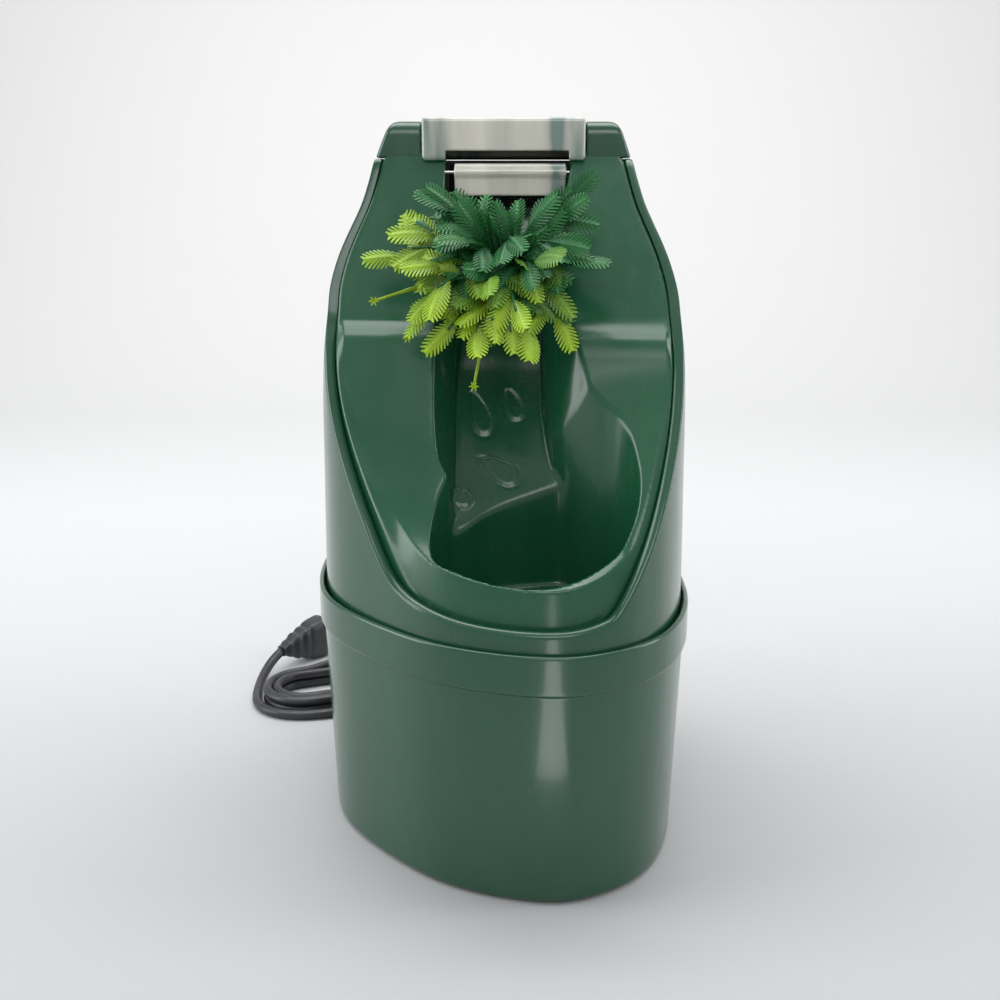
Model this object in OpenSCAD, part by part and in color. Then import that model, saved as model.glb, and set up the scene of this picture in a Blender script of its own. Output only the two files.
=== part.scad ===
// Pet waterfall drinking fountain: a tank with a submerged pump, a lift-off
// housing with a cascade tray, a smoked filter lid, a spill flap and a plant.
// Front is -Y, up is +Z, the origin is on the table under the middle of the tank.

/* [Tank] */
// Height of the tank's rim above the table
rim_z = 104; // [95:1:115]
// Height of the stepped band below the rim
band_h = 15; // [10:1:20]
// Thickness of the moulded walls
wall = 2.2; // [1.8:0.1:3]
// How far the tank's foot is drawn in from its rim
tank_draft = 3; // [1:0.5:5]

/* [Housing] */
// Height of the housing where the hood sits on it
shoulder_z = 278; // [270:1:285]
// Height of the hood's flat top
hood_z = 293; // [288:1:300]
// Width of the rolled edge that frames the cascade
bead_w = 4.4; // [3.5:0.1:6]

/* [Cascade] */
// Height of the basin's floor
basin_z = 106; // [104:1:112]
// Vertical thickness of the sloping face
face_t = 3.6; // [3:0.1:5]

/* [Lid and flap] */
// Width of the smoked lid
lid_w = 67.6; // [60:1:72]
// Height of the lid's top
lid_z = 294.4; // [294:1:299]
// Radius of the flap's steel pin
pin_r = 0.8; // [0.6:0.1:1]

/* [Pump] */
// Width of the pump's casing
pump_w = 52; // [46:1:56]
// Height of the impeller's axis
impeller_z = 22; // [21:0.5:24]
// Radius of the ceramic shaft
shaft_r = 1.15; // [1:0.05:1.5]
// Outer radius of the outlet nozzle
nozzle_r = 5; // [4.5:0.1:5.2]

/* [Mains cord] */
// Diameter of the cord
cord_d = 5; // [4.5:0.1:5.2]
// Length of the hank's straight runs
hank_run = 80; // [76:1:84]

/* [Hidden] */
$fn = 48;
eps = 0.01;

// ---- Plan outline: a closed cubic B-spline through 18 control points ----
PLAN = [
    [-77.6, 12], [-74, -18], [-62, -40], [-42, -62], [-21, -81], [19, -93],
    [40, -86], [62, -71], [76, -34], [77, -1], [77, 35], [75, 67],
    [58, 89], [19, 90], [-19, 90], [-59, 89], [-75, 66], [-77, 39]
];
plan_steps = 4;
plan_n = len(PLAN) * plan_steps;
function wrap(i, n) = (i % n + n) % n;
function knot(i) = PLAN[wrap(i, len(PLAN))];
function spline_at(i, t) =
    (pow(1 - t, 3) * knot(i - 1) + (3 * pow(t, 3) - 6 * t * t + 4) * knot(i)
    + (1 + 3 * t + 3 * t * t - 3 * pow(t, 3)) * knot(i + 1) + pow(t, 3) * knot(i + 2)) / 6;
function plan_at(k) = spline_at(floor(k / plan_steps), (k % plan_steps) / plan_steps);
PLAN_PTS = [for (k = [0:plan_n - 1]) plan_at(k)];
function plan_normal(k) =
    let (d = PLAN_PTS[wrap(k + 1, plan_n)] - PLAN_PTS[wrap(k - 1, plan_n)])
    [d.y, -d.x] / norm(d);
PLAN_NORMALS = [for (k = [0:plan_n - 1]) plan_normal(k)];
// The outline moved outwards by d
function plan(d) = [for (k = [0:plan_n - 1]) PLAN_PTS[k] + d * PLAN_NORMALS[k]];

// ---- Heights ----
plan_half = 77;
tilt = 0.14;
front_y = 75.4;
// Distance up the cascade from its front, along a slightly skewed front-to-back line
function along(p) = p.y + front_y + tilt * p.x;
RIDGE = [
    [-16, 111.5], [-10, 112.5], [-3, 115], [4, 118.5], [9, 123], [14, 132], [19, 142.5],
    [25, 154], [32, 167], [40, 181], [50, 197], [62, 212], [75, 226]
];
FACE = [
    [-16, 124], [-6, 126.5], [0, 130], [8, 134.5], [15, 140], [22, 148],
    [30, 160], [38, 172], [46, 186], [54, 200], [62, 209]
];
crease_w = 62;
crease_z = 209;
top_y = 25;
function crease_y(x) = crease_w - front_y - tilt * x;
function upper_z(p) =
    crease_z + (shoulder_z - crease_z) * (p.y - crease_y(p.x)) / (top_y - crease_y(p.x));
function face_z(p) = along(p) < crease_w ? lookup(along(p), FACE) : upper_z(p);
function edge_z(p) = min(shoulder_z, max(lookup(along(p), RIDGE), along(p) < crease_w ? 0 : upper_z(p)));

// ---- Upper housing: half width by height, and its place in plan ----
HALF_W = [
    [90, 76.5], [200, 74], [218, 72], [227, 71], [238, 68], [246, 64.5],
    [252, 62], [260, 58.5], [269, 56], [278, 53.6], [293, 48]
];
skew_x = 1.5;
depth_draft = 0.0003;
function half_w(z) = lookup(z, HALF_W);
function upper_pt(p, z) = [
    skew_x * (plan_half - half_w(z)) / (plan_half - 53.6) + p.x * half_w(z) / plan_half,
    p.y * (1 - depth_draft * (z - rim_z)),
    z
];

// Rings of equal point counts joined into one closed solid. A tube of rings that
// ends where it began is closed on itself; otherwise its ends are capped.
module loft(rings, closed = false) {
    n = len(rings[0]);
    m = len(rings);
    sides = [for (j = [0:m - (closed ? 1 : 2)], i = [0:n - 1], half = [0, 1])
        let (a = j * n + i, b = j * n + (i + 1) % n)
        let (c = ((j + 1) % m) * n + (i + 1) % n, d = ((j + 1) % m) * n + i)
        half == 0 ? [a, d, b] : [b, d, c]];
    caps = closed ? [] : [[for (i = [0:n - 1]) i], [for (i = [n - 1:-1:0]) (m - 1) * n + i]];
    polyhedron(points = [for (r = rings) each r], faces = concat(sides, caps), convexity = 8);
}
function flat_ring(pts, z) = [for (p = pts) [p.x, p.y, z]];

// ---- Tank ----
base_z = 0.8;
floor_z = 3;
seat_z = 90;
rim_gap = 0.3;
foot_r = 6;
FEET = [[-52, 2], [52, 2], [-40, 66], [40, 66], [10, -66]];
notch_x = 40;
notch_w = 9;
cord_z = 98;

module reservoir() {
    rings = [
        flat_ring(plan(0.4 - tank_draft - 1.2), base_z),
        flat_ring(plan(0.4 - tank_draft), base_z + 1.2),
        flat_ring(plan(0.4), rim_z - band_h - 0.6),
        flat_ring(plan(2.5), rim_z - band_h),
        flat_ring(plan(2.5), rim_z),
        flat_ring(plan(rim_gap), rim_z),
        flat_ring(plan(rim_gap), seat_z),
        flat_ring(plan(-2), seat_z - 0.4),
        flat_ring(plan(-2 - tank_draft), floor_z)
    ];
    color("darkgreen") difference() {
        loft(rings);
        for (p = FEET) translate([p.x, p.y, 0]) cylinder(r = foot_r, h = 2);
        translate([notch_x - notch_w / 2, 84, cord_z - notch_w / 2]) cube([notch_w, 14, 20]);
    }
}

module rubber_feet() {
    color("black") for (p = FEET) translate([p.x, p.y, 0]) cylinder(r = foot_r, h = 2);
}

// ---- Housing: outer wall with a rolled top edge ----
skirt_z = seat_z + rim_gap;
wall_rows = 9;
outer_d = -0.5;
function housing_row(d, f, drop) = [for (k = [0:plan_n - 1])
    let (p = PLAN_PTS[k] + d * PLAN_NORMALS[k], top = edge_z(PLAN_PTS[k]) - drop)
    upper_pt(p, skirt_z + (top - skirt_z) * f)];

module housing() {
    outer = [for (j = [0:wall_rows]) housing_row(outer_d, j / wall_rows, 1.6)];
    rim = [
        housing_row(outer_d - 1.3, 1, 0.2),
        housing_row(outer_d - bead_w + 1, 1, 0.2),
        housing_row(outer_d - bead_w, 1, 1.2),
        housing_row(outer_d - bead_w, 1, 3),
        housing_row(outer_d - wall, 1, 3.4)
    ];
    inner = [for (j = [wall_rows - 1:-1:0]) housing_row(outer_d - wall, j / wall_rows, 3.4)];
    color("darkgreen") difference() {
        loft(concat(outer, rim, inner), true);
        translate([notch_x - notch_w / 2 - 1, 78, skirt_z - 1]) cube([notch_w + 2, 20, 16]);
    }
}

// ---- Cascade tray: sloping face, basin, slide and skirt in one moulding ----
OPENING = [
    [-24, -69.4], [-17, -72.6], [-8, -77.8], [1.4, -82.2], [14, -83.6], [27, -80.9],
    [39, -74], [46, -68.4], [51, -62], [52.5, -55.4], [50.3, -46], [42.5, -37],
    [34, -30.4], [30.2, -22.4], [26, -7.4], [26, 10], [29, 22], [29, 40],
    [-22.5, 40], [-22.5, 22], [-26, 10], [-26, -30], [-20.4, -42.4], [-26, -52]
];
SLIDE = [[-31, 145], [-15.4, 163], [16.6, 202], [29.6, 255]];
tray_in = outer_d - bead_w - 0.4;
face_rows = 26;
face_cols = 16;
face_x = 80;
face_y0 = -92;
face_y1 = top_y;

function grow(pts, d) = [for (i = [0:len(pts) - 1])
    let (n = len(pts), a = pts[wrap(i - 1, n)], b = pts[wrap(i + 1, n)], t = (b - a) / norm(b - a))
    pts[i] + d * [t.y, -t.x]];

// The solid between the sloping face moved down by drop and the level low
module under_face(drop, low) {
    grid = [for (j = [0:face_rows]) [for (i = [0:face_cols])
        let (x = -face_x + 2 * face_x * i / face_cols, y = face_y0 + (face_y1 - face_y0) * j / face_rows)
        [x, y, face_z([x, y]) - drop]]];
    rings = [for (row = grid) concat(
        [[row[0].x, row[0].y, low < 0 ? row[0].z + low : low]],
        row,
        [[row[face_cols].x, row[0].y, low < 0 ? row[face_cols].z + low : low]],
        low < 0 ? [for (i = [face_cols - 1:-1:1]) row[i] + [0, 0, low]] : [])];
    loft(rings);
}

module plan_prism(d, z0, z1) {
    translate([0, 0, z0]) linear_extrude(z1 - z0) polygon(plan(d));
}

// The housing's front view, drawn in by d on each side
module front_prism(d) {
    right = [for (h = HALF_W) [skew_x * (plan_half - h[1]) / 23.4 + h[1] - d, h[0]]];
    left = [for (i = [len(HALF_W) - 1:-1:0])
        [skew_x * (plan_half - HALF_W[i][1]) / 23.4 - HALF_W[i][1] + d, HALF_W[i][0]]];
    translate([0, 100, 0]) rotate([90, 0, 0]) linear_extrude(200) polygon(concat(right, left));
}

module opening_prism(d, z0, z1) {
    translate([0, 0, z0]) linear_extrude(z1 - z0) polygon(grow(OPENING, d));
}

module cascade_tray() {
    slide_low = [for (i = [len(SLIDE) - 1:-1:0]) SLIDE[i] + [2.4, i == 0 ? -2 : -1]];
    slide_wall = [[-28.6, basin_z + 0.6], [-31, basin_z + 0.6]];
    color("green") resize([0, 0, 0]) union() {
        intersection() {
            union() {
                difference() {
                    under_face(0, -face_t);
                    opening_prism(0, 100, 290);
                }
                intersection() {
                    under_face(0.1, basin_z);
                    difference() {
                        opening_prism(wall, basin_z, 290);
                        opening_prism(0, basin_z - 1, 291);
                    }
                }
            }
            plan_prism(tray_in, 100, 290);
            front_prism(bead_w + 0.8);
        }
        translate([0, 0, basin_z]) linear_extrude(wall) polygon(grow(OPENING_FLOOR, wall));
        intersection() {
            translate([60, 0, 0]) rotate([90, 0, -90])
                linear_extrude(120) polygon([for (p = concat(SLIDE, slide_low, slide_wall)) [-p.x, p.y]]);
            opening_prism(0.4, basin_z, 256);
        }
    }
}
// The basin's floor is the opening in front of the slide
OPENING_FLOOR = concat([for (i = [0:12]) OPENING[i]], [[30, -29], [-26, -29], [-20.4, -42.4], [-26, -52]]);

// ---- Hood, lid and flap ----
hood_seat = shoulder_z + 0.3;
lid_x = 1.5;
lid_y0 = 22;
lid_y1 = 76;
lid_low = 277;
slot_x0 = -22.5;
slot_x1 = 28.5;
function hood_outline(d, z) = [for (k = [0:plan_n - 1])
    let (p = upper_pt(PLAN_PTS[k] + (outer_d - d) * PLAN_NORMALS[k], z))
    [p.x, max(p.y, top_y + d * 0.7)]];

module hood_shell(d, top) {
    hull() {
        translate([0, 0, hood_seat - (d > 0 ? 1 : 0)]) linear_extrude(1) polygon(hood_outline(d, shoulder_z));
        translate([0, 0, top - 5]) linear_extrude(1) polygon(hood_outline(d + 0.6, hood_z - 4));
        translate([0, 0, top - 1]) linear_extrude(1) polygon(hood_outline(d + 3.6, hood_z));
    }
}

module hood() {
    color("darkgreen") difference() {
        hood_shell(0, hood_z);
        hood_shell(wall, hood_z - wall);
        translate([lid_x - lid_w / 2 - 0.5, top_y - 6, 270]) cube([lid_w + 1, lid_y1 - top_y + 6.5, 40]);
    }
}

module filter_lid() {
    depth = lid_y1 - lid_y0;
    color("dimgray", 0.6) translate([lid_x - lid_w / 2, lid_y0, 0]) difference() {
        translate([0, 0, lid_low]) cube([lid_w, depth, lid_z - lid_low]);
        translate([2, 2, lid_low - 1]) cube([lid_w - 4, depth - 4, lid_z - lid_low - 1]);
        translate([slot_x0 - lid_x + lid_w / 2, -1, lid_low - 1]) cube([slot_x1 - slot_x0, 4, 5]);
        translate([-1, 2, lid_low - 1]) cube([lid_w + 2, depth, 3.5]);
    }
}

pin_y = 23.5;
pin_z = 272.5;
flap_x0 = -19;
flap_x1 = 27.4;
module spill_flap() {
    color("dimgray", 0.7) difference() {
        union() {
            translate([flap_x0, pin_y, pin_z]) rotate([0, 90, 0]) cylinder(r = 2, h = flap_x1 - flap_x0);
            translate([flap_x0, pin_y - 0.9, 263]) cube([flap_x1 - flap_x0, 1.8, 13]);
        }
        translate([flap_x0 - 1, pin_y, pin_z]) rotate([0, 90, 0])
            cylinder(r = pin_r + 0.06, h = flap_x1 - flap_x0 + 2);
    }
}

module flap_pin() {
    color("silver") translate([-25, pin_y, pin_z]) rotate([0, 90, 0]) cylinder(r = pin_r, h = 56.5);
}

// ---- Filter box with its weir, and the sponge ----
box_x0 = -32;
box_x1 = 35;
box_y0 = 32.6;
box_y1 = 80;
box_z0 = 236;
box_z1 = 275.5;
weir_z = 258;
riser_y = 43.5;
module filter_box() {
    color("darkslategray") {
        difference() {
            translate([box_x0, box_y0, box_z0]) cube([box_x1 - box_x0, box_y1 - box_y0, box_z1 - box_z0]);
            translate([box_x0 + 2, box_y0 + 2, box_z0 + 2])
                cube([box_x1 - box_x0 - 4, box_y1 - box_y0 - 4, box_z1 - box_z0]);
            translate([slot_x0 + 1, box_y0 - 1, weir_z]) cube([slot_x1 - slot_x0 - 2, 4, 30]);
            translate([0, riser_y, box_z0 - 1]) cylinder(r = 3.8, h = 4);
        }
        difference() {
            translate([0, riser_y, box_z0 - 14]) cylinder(r = nozzle_r + 0.3, h = 14 + eps);
            translate([0, riser_y, box_z0 - 15]) cylinder(r = 3.8, h = 18);
        }
    }
}

module filter_sponge() {
    color("black") translate([box_x0 + 2.5, 54, box_z0 + 2]) cube([box_x1 - box_x0 - 5, 23.5, 26]);
}

riser_low = 52;
module riser_tube() {
    color("lightgray", 0.6) translate([0, riser_y, riser_low]) difference() {
        cylinder(r = 7.2, h = box_z0 - riser_low);
        translate([0, 0, -1]) cylinder(r = nozzle_r + 0.4, h = box_z0 - riser_low + 2);
    }
}

// ---- Plant: a stem plug in a socket on the channel's steep back wall ----
plant_at = [1, 19.2, 229];
plant_tilt = 14;
module plant_axis() {
    translate(plant_at) rotate([90 - plant_tilt, 0, 0]) children();
}
module plant_socket() {
    color("green") plant_axis() difference() {
        translate([0, 0, -5]) cylinder(r = 5, h = 11);
        translate([0, 0, -0.5]) cylinder(r = 2.9, h = 8);
    }
}
module plant_base() {
    color("olivedrab") plant_axis() {
        cylinder(r = 2.5, h = 9);
        translate([0, 0, 6.5]) cylinder(r = 4.2, h = 3);
    }
}
// Stem tips, from the stem plug's outer end
stem_root = [1, 9.8, 231.5];
STEM_TIPS = [
    [-62, -14, 233], [-58, -22, 218], [-33, -24, 210], [-5, -34, 192], [36, -12, 262], [34, -22, 236],
    [26, -26, 216], [-30, -12, 262], [-24, -32, 230], [6, -38, 222], [4, -14, 262], [16, -30, 244],
    [-10, -34, 208], [-44, -20, 248], [-14, -24, 248]
];
stem_r = 0.9;
module rod(a, b, r) {
    d = b - a;
    translate(a) rotate([0, acos(d.z / norm(d)), atan2(d.y, d.x)]) cylinder(r = r, h = norm(d), $fn = 6);
}
module plant_stems() {
    color("olivedrab") for (tip = STEM_TIPS) rod(stem_root, tip, stem_r);
}
leaf_l = 26;
leaf_w = 11;
LEAF = [for (a = [0:45:315]) [leaf_l / 2 * cos(a), leaf_w / 2 * sin(a)]];
module leaf(at, turn, lean) {
    translate(at) rotate([0, lean, turn]) translate([leaf_l / 2, 0, 0]) linear_extrude(0.8) polygon(LEAF);
}
module plant_leaves() {
    color("limegreen") for (i = [0:len(STEM_TIPS) - 1]) {
        tip = STEM_TIPS[i];
        back = (stem_root - tip) * 0.34;
        leaf(tip + back + [0, -2, 1.5], 200 + 47 * i % 140, 35);
        leaf(tip + back * 1.6 + [0, -4, 2], 250 + 61 * i % 120, 10);
    }
}

// ---- Pump ----
pump_y0 = 47;
pump_y1 = 82;
pump_z0 = 9;
pump_z1 = 47;
well_r = 8.5;
module rounded_box(size, r) {
    linear_extrude(size.z) union() {
        translate([r, 0]) square([size.x - 2 * r, size.y]);
        translate([0, r]) square([size.x, size.y - 2 * r]);
        for (x = [r, size.x - r], y = [r, size.y - r]) translate([x, y]) circle(r = r);
    }
}
module along_y(y, r, h) {
    translate([0, y + h, impeller_z]) rotate([90, 0, 0]) cylinder(r = r, h = h);
}
module pump_body() {
    color([0.12, 0.12, 0.13]) difference() {
        translate([-pump_w / 2, pump_y0, pump_z0]) rounded_box([pump_w, pump_y1 - pump_y0, pump_z1 - pump_z0], 4);
        along_y(pump_y0 - 1, well_r, 25);
        along_y(70, 3, 3);
        translate([0, riser_y, impeller_z + 8]) cylinder(r = nozzle_r + 0.2, h = 40);
        translate([-22, 52, 32]) cube([44, 26, 12]);
        for (x = [-20.5, 13.5]) translate([x, 58.5, 13.5]) cube([7, 7, 20]);
    }
}
module stator_core() {
    color("gray") {
        translate([-20, 59, 35]) cube([40, 6, 6]);
        for (x = [-20, 14]) translate([x, 59, 14]) cube([6, 6, 22]);
    }
}
module stator_coil() {
    color("orangered") translate([-12, 62, 38]) rotate([0, 90, 0]) difference() {
        cylinder(r = 5.8, h = 24);
        translate([0, 0, -1]) cylinder(r = 4.3, h = 26);
    }
}
module volute_cover() {
    color([0.15, 0.15, 0.16]) difference() {
        union() {
            along_y(40, 17, pump_y0 - 40);
            translate([0, riser_y, impeller_z + 10]) cylinder(r = nozzle_r, h = 32);
        }
        along_y(41.8, 14.5, 6);
        along_y(39, 5, 4);
        translate([0, riser_y, impeller_z + 8]) cylinder(r = 3.4, h = 40);
    }
    // Spider that holds the front bush in the inlet
    color([0.15, 0.15, 0.16]) difference() {
        union() {
            along_y(40, 3.2, 1.8);
            for (a = [0:120:240]) translate([0, 41.8, impeller_z]) rotate([90, a, 0])
                translate([-0.6, 2.6, 0]) cube([1.2, 3, 1.8]);
        }
        along_y(39, 2.2, 4);
    }
}
cover_y0 = 22;
cover_y1 = 39.5;
module intake_cover() {
    color([0.13, 0.13, 0.14]) difference() {
        translate([-pump_w / 2, cover_y0, pump_z0]) cube([pump_w, cover_y1 - cover_y0, 31]);
        translate([-pump_w / 2 + 2, cover_y0 + 2, pump_z0 + 2]) cube([pump_w - 4, cover_y1 - cover_y0, 27]);
        for (x = [-22:5:-12], s = [1, -1]) translate([s * x - 1, cover_y0 - 1, pump_z0 + 5]) cube([2, 4, 21]);
        translate([0, cover_y0 + 3, impeller_z + 2]) rotate([90, 0, 0]) cylinder(r = 3.05, h = 5);
        translate([0, riser_y, pump_z0 + 26]) cylinder(r = nozzle_r + 0.5, h = 20);
    }
}
module flow_dial() {
    color("dimgray") {
        translate([0, cover_y0 - 0.3, impeller_z + 2]) rotate([90, 0, 0]) cylinder(r = 7.5, h = 3);
        translate([0, cover_y0 + 6, impeller_z + 2]) rotate([90, 0, 0]) cylinder(r = 3, h = 7);
        translate([-0.8, cover_y0 - 5.8, impeller_z + 2 - 7]) cube([1.6, 3, 14]);
    }
}
module impeller_magnet() {
    color("black") difference() {
        along_y(49.5, 7.7, 20);
        along_y(48, shaft_r + 0.05, 24);
    }
}
module impeller_vanes() {
    color("white") difference() {
        union() {
            along_y(43, 4, 6.5);
            for (a = [0:60:300]) translate([0, 46.6, impeller_z]) rotate([90, a, 0])
                translate([-0.6, 0, 0]) cube([1.2, 12.5, 3.6]);
            along_y(45.6, 12.5, 1);
        }
        along_y(42, shaft_r + 0.05, 10);
    }
}
module impeller_shaft() {
    color("ivory") along_y(40.4, shaft_r, 31.6);
}
module shaft_bushes() {
    color("black") difference() {
        union() {
            along_y(40, 2.2, 2.4);
            along_y(70.2, 3, 2.8);
        }
        along_y(40.4, shaft_r, 31.6);
    }
}
CUPS = [[-19, 53], [19, 53], [-19, 75], [19, 75]];
module suction_cups() {
    color("dimgray") for (p = CUPS) translate([p.x, p.y, floor_z]) {
        rotate_extrude() polygon([[0, 1.4], [4, 0.8], [6.4, 0], [7, 0], [5, 2.2], [2.4, 3], [2.4, 6], [0, 6]]);
    }
}
gland_x = 20;
gland_y = 74;
module pump_gland() {
    color("black") translate([gland_x, gland_y, pump_z1]) difference() {
        union() {
            cylinder(r = 5, h = 4);
            translate([0, 0, 4]) cylinder(r1 = 4.6, r2 = 3.2, h = 14);
        }
        translate([0, 0, -1]) cylinder(d = cord_d, h = 30);
    }
}
grommet_len = 5;
module cord_grommet() {
    color("black") translate([notch_x, 88, cord_z]) rotate([-90, 0, 0]) difference() {
        union() {
            translate([-notch_w / 2, -6, 0]) cube([notch_w, 10.5, 6]);
            translate([0, 0, 6]) cylinder(r1 = 4.4, r2 = 3.1, h = 15);
        }
        translate([0, 0, -1]) cylinder(d = cord_d, h = 30);
    }
}

// ---- Cords ----
cord_sides = 8;
function unit(v) = v / norm(v);
function tangent(path, i) = unit(path[min(i + 1, len(path) - 1)] - path[max(i - 1, 0)]);
function start_side(t) = unit(cross(t, abs(t.z) > 0.7 ? [1, 0, 0] : [0, 0, 1]));
// The side direction carried along the route without twist
function side_at(path, i) = i == 0 ? start_side(tangent(path, 0))
    : let (t = tangent(path, i), u = side_at(path, i - 1)) unit(u - (u * t) * t);
module cord(path) {
    rings = [for (i = [0:len(path) - 1])
        let (u = side_at(path, i), v = cross(tangent(path, i), u))
        [for (a = [0:360 / cord_sides:359]) path[i] + cord_d / 2 * (cos(a) * u + sin(a) * v)]];
    loft(rings);
}
LEAD_IN = [
    [20, 74, 47], [20, 74, 58], [20.5, 74, 68], [23, 74.5, 78], [28, 76, 87], [34, 79.5, 94],
    [38.5, 84, 97.6], [40, 88, 98]
];
module pump_lead() {
    color("black") cord(LEAD_IN);
}
LEAD_OUT = [
    [40, 109, 98], [40, 114.5, 97.3], [40, 120, 95], [40, 125, 90.5], [40, 128.5, 84],
    [40, 130.5, 75], [40, 131.3, 64], [40, 131.6, 52], [40, 131.7, 40], [39.3, 131.5, 28],
    [36, 130.4, 17], [29.5, 128.2, 8.5], [20, 124.8, 4], [9, 121, 2.6], [-2, 117.2, 2.5],
    [-13, 113.3, 2.5], [-21.9, 110.1, 2.5]
];
// From the hank's front run round its left end to the plug
TAIL = [
    [-21.9, 110.1, 12.5], [-36, 103.6, 12.4], [-48, 96.6, 11.4], [-60, 90, 8.6], [-72, 84.8, 5],
    [-84, 81, 2.9], [-95, 78.2, 2.5], [-104, 77.3, 2.5], [-113, 78.6, 2.5], [-121.5, 83.6, 2.5],
    [-127.4, 91.6, 2.5], [-130, 101, 2.5], [-131, 111, 2.7], [-131.2, 121, 3.6], [-130, 130, 5.6],
    [-127.4, 137.6, 8.4], [-124, 143, 11]
];
module power_cord() {
    color("black") {
        cord(LEAD_OUT);
        cord(TAIL);
    }
}
hank_left = [-104, 103];
hank_turn = 19;
hank_r1 = 12.5;
hank_r2 = 22.5;
hank_h = 10;
tie_s = 62;
tie_w = 5;
tie_t = 0.8;
module stadium(r) {
    circle(r = r);
    translate([0, -r]) square([hank_run, 2 * r]);
    translate([hank_run, 0]) circle(r = r);
}
module in_hank() {
    translate(hank_left) rotate([0, 0, hank_turn]) children();
}
module tie_block(t) {
    translate([tie_s - tie_w / 2 - t, hank_r1 + t, t]) cube([tie_w + 2 * t, hank_r2 - hank_r1 - 2 * t, hank_h - 2 * t]);
}
module cord_hank() {
    color("black") in_hank() difference() {
        linear_extrude(hank_h) difference() {
            stadium(hank_r2);
            stadium(hank_r1);
        }
        difference() {
            translate([tie_s - tie_w / 2, hank_r1 - 1, -1]) cube([tie_w, hank_r2 - hank_r1 + 2, hank_h + 2]);
            tie_block(tie_t);
        }
    }
}
module cord_tie() {
    color("dimgray") in_hank() difference() {
        translate([tie_s - tie_w / 2, hank_r1, 0]) cube([tie_w, hank_r2 - hank_r1, hank_h]);
        tie_block(tie_t);
    }
}

// ---- Plug, standing on its narrow edge ----
plug_rear = [-124, 143, 11];
plug_turn = 50;
module at_plug() {
    translate([plug_rear.x, plug_rear.y, 0]) rotate([0, 0, plug_turn]) children();
}
module plug_body() {
    color("black") at_plug() translate([0, 6.5, 0]) rotate([90, 0, 0]) linear_extrude(13)
        polygon([[0, 7.5], [8, 5.5], [8, 4], [14, 2.5], [14, 1], [22, 0], [30, 0.6], [32, 3], [32, 21],
            [30, 23.4], [22, 24], [14, 21.5], [14, 20], [8, 18.5], [8, 17], [0, 14.5]]);
}
module plug_blades() {
    color("gold") at_plug() for (z = [5.25, 17.95]) translate([32, -3.15, z - 0.75]) cube([17, 6.3, 1.5]);
}

reservoir();
rubber_feet();
housing();
cascade_tray();
hood();
filter_lid();
spill_flap();
flap_pin();
filter_box();
filter_sponge();
riser_tube();
plant_socket();
plant_base();
plant_stems();
plant_leaves();
pump_body();
stator_core();
stator_coil();
volute_cover();
intake_cover();
flow_dial();
impeller_magnet();
impeller_vanes();
impeller_shaft();
shaft_bushes();
suction_cups();
pump_gland();
pump_lead();
cord_grommet();
power_cord();
cord_hank();
cord_tie();
plug_body();
plug_blades();
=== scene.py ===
"""Looks of the pet waterfall drinking fountain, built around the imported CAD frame.

Shapes are worked out in millimetres in the CAD's own frame and turned into metres when a
mesh is made. Smooth shells are either swept rows of points or level surfaces of a field.
"""
import math
import random

import bmesh
import bpy
import numpy as np
from mathutils import Matrix, Vector


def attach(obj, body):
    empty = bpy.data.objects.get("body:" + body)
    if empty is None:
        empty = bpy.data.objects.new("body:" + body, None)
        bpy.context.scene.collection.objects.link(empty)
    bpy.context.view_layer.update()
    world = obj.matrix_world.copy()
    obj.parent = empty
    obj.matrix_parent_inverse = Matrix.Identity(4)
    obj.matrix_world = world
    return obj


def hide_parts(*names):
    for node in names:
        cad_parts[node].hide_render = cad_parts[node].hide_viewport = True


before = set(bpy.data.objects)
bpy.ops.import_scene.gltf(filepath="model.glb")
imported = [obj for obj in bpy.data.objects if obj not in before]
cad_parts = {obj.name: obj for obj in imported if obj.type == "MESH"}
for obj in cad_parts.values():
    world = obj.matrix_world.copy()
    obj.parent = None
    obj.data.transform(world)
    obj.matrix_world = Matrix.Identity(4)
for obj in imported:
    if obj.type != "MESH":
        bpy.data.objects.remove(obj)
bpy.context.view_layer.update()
MM = 0.001
scene = bpy.context.scene

# ---------------- camera
CAMERA_PLACE = (0.0, -0.4924, 0.270)
CAMERA_PITCH = 15
LENS = 43.2
camera_data = bpy.data.cameras.new("camera")
camera_data.lens = LENS
camera_data.sensor_width = 36
camera_data.clip_start = 0.01
camera = bpy.data.objects.new("camera", camera_data)
camera.location = CAMERA_PLACE
camera.rotation_euler = (math.radians(90 - CAMERA_PITCH), 0, 0)
scene.collection.objects.link(camera)
scene.camera = camera


# ---------------- meshes
def link_mesh(name, mesh, smooth=True):
    if smooth:
        mesh.polygons.foreach_set("use_smooth", [True] * len(mesh.polygons))
    obj = bpy.data.objects.new(name, mesh)
    scene.collection.objects.link(obj)
    return obj


def add_mesh(name, vertices, faces, smooth=True):
    """A mesh object from vertices in millimetres."""
    mesh = bpy.data.meshes.new(name)
    points = np.asarray(vertices, dtype=float) * MM
    mesh.from_pydata(points.tolist(), [], [list(map(int, f)) for f in faces])
    mesh.validate()
    mesh.update()
    return link_mesh(name, mesh, smooth)


def sweep_faces(rows, columns, around_rows=False, around_columns=True, caps=False):
    """Quads between the rows of a grid, in vertex order row by row."""
    faces = []
    for j in range(rows if around_rows else rows - 1):
        for i in range(columns if around_columns else columns - 1):
            a, b = j * columns + i, j * columns + (i + 1) % columns
            up = ((j + 1) % rows) * columns
            faces.append((a, b, up + (i + 1) % columns, up + i))
    if caps:
        faces.append(tuple(range(columns - 1, -1, -1)))
        faces.append(tuple(range((rows - 1) * columns, rows * columns)))
    return faces


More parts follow.
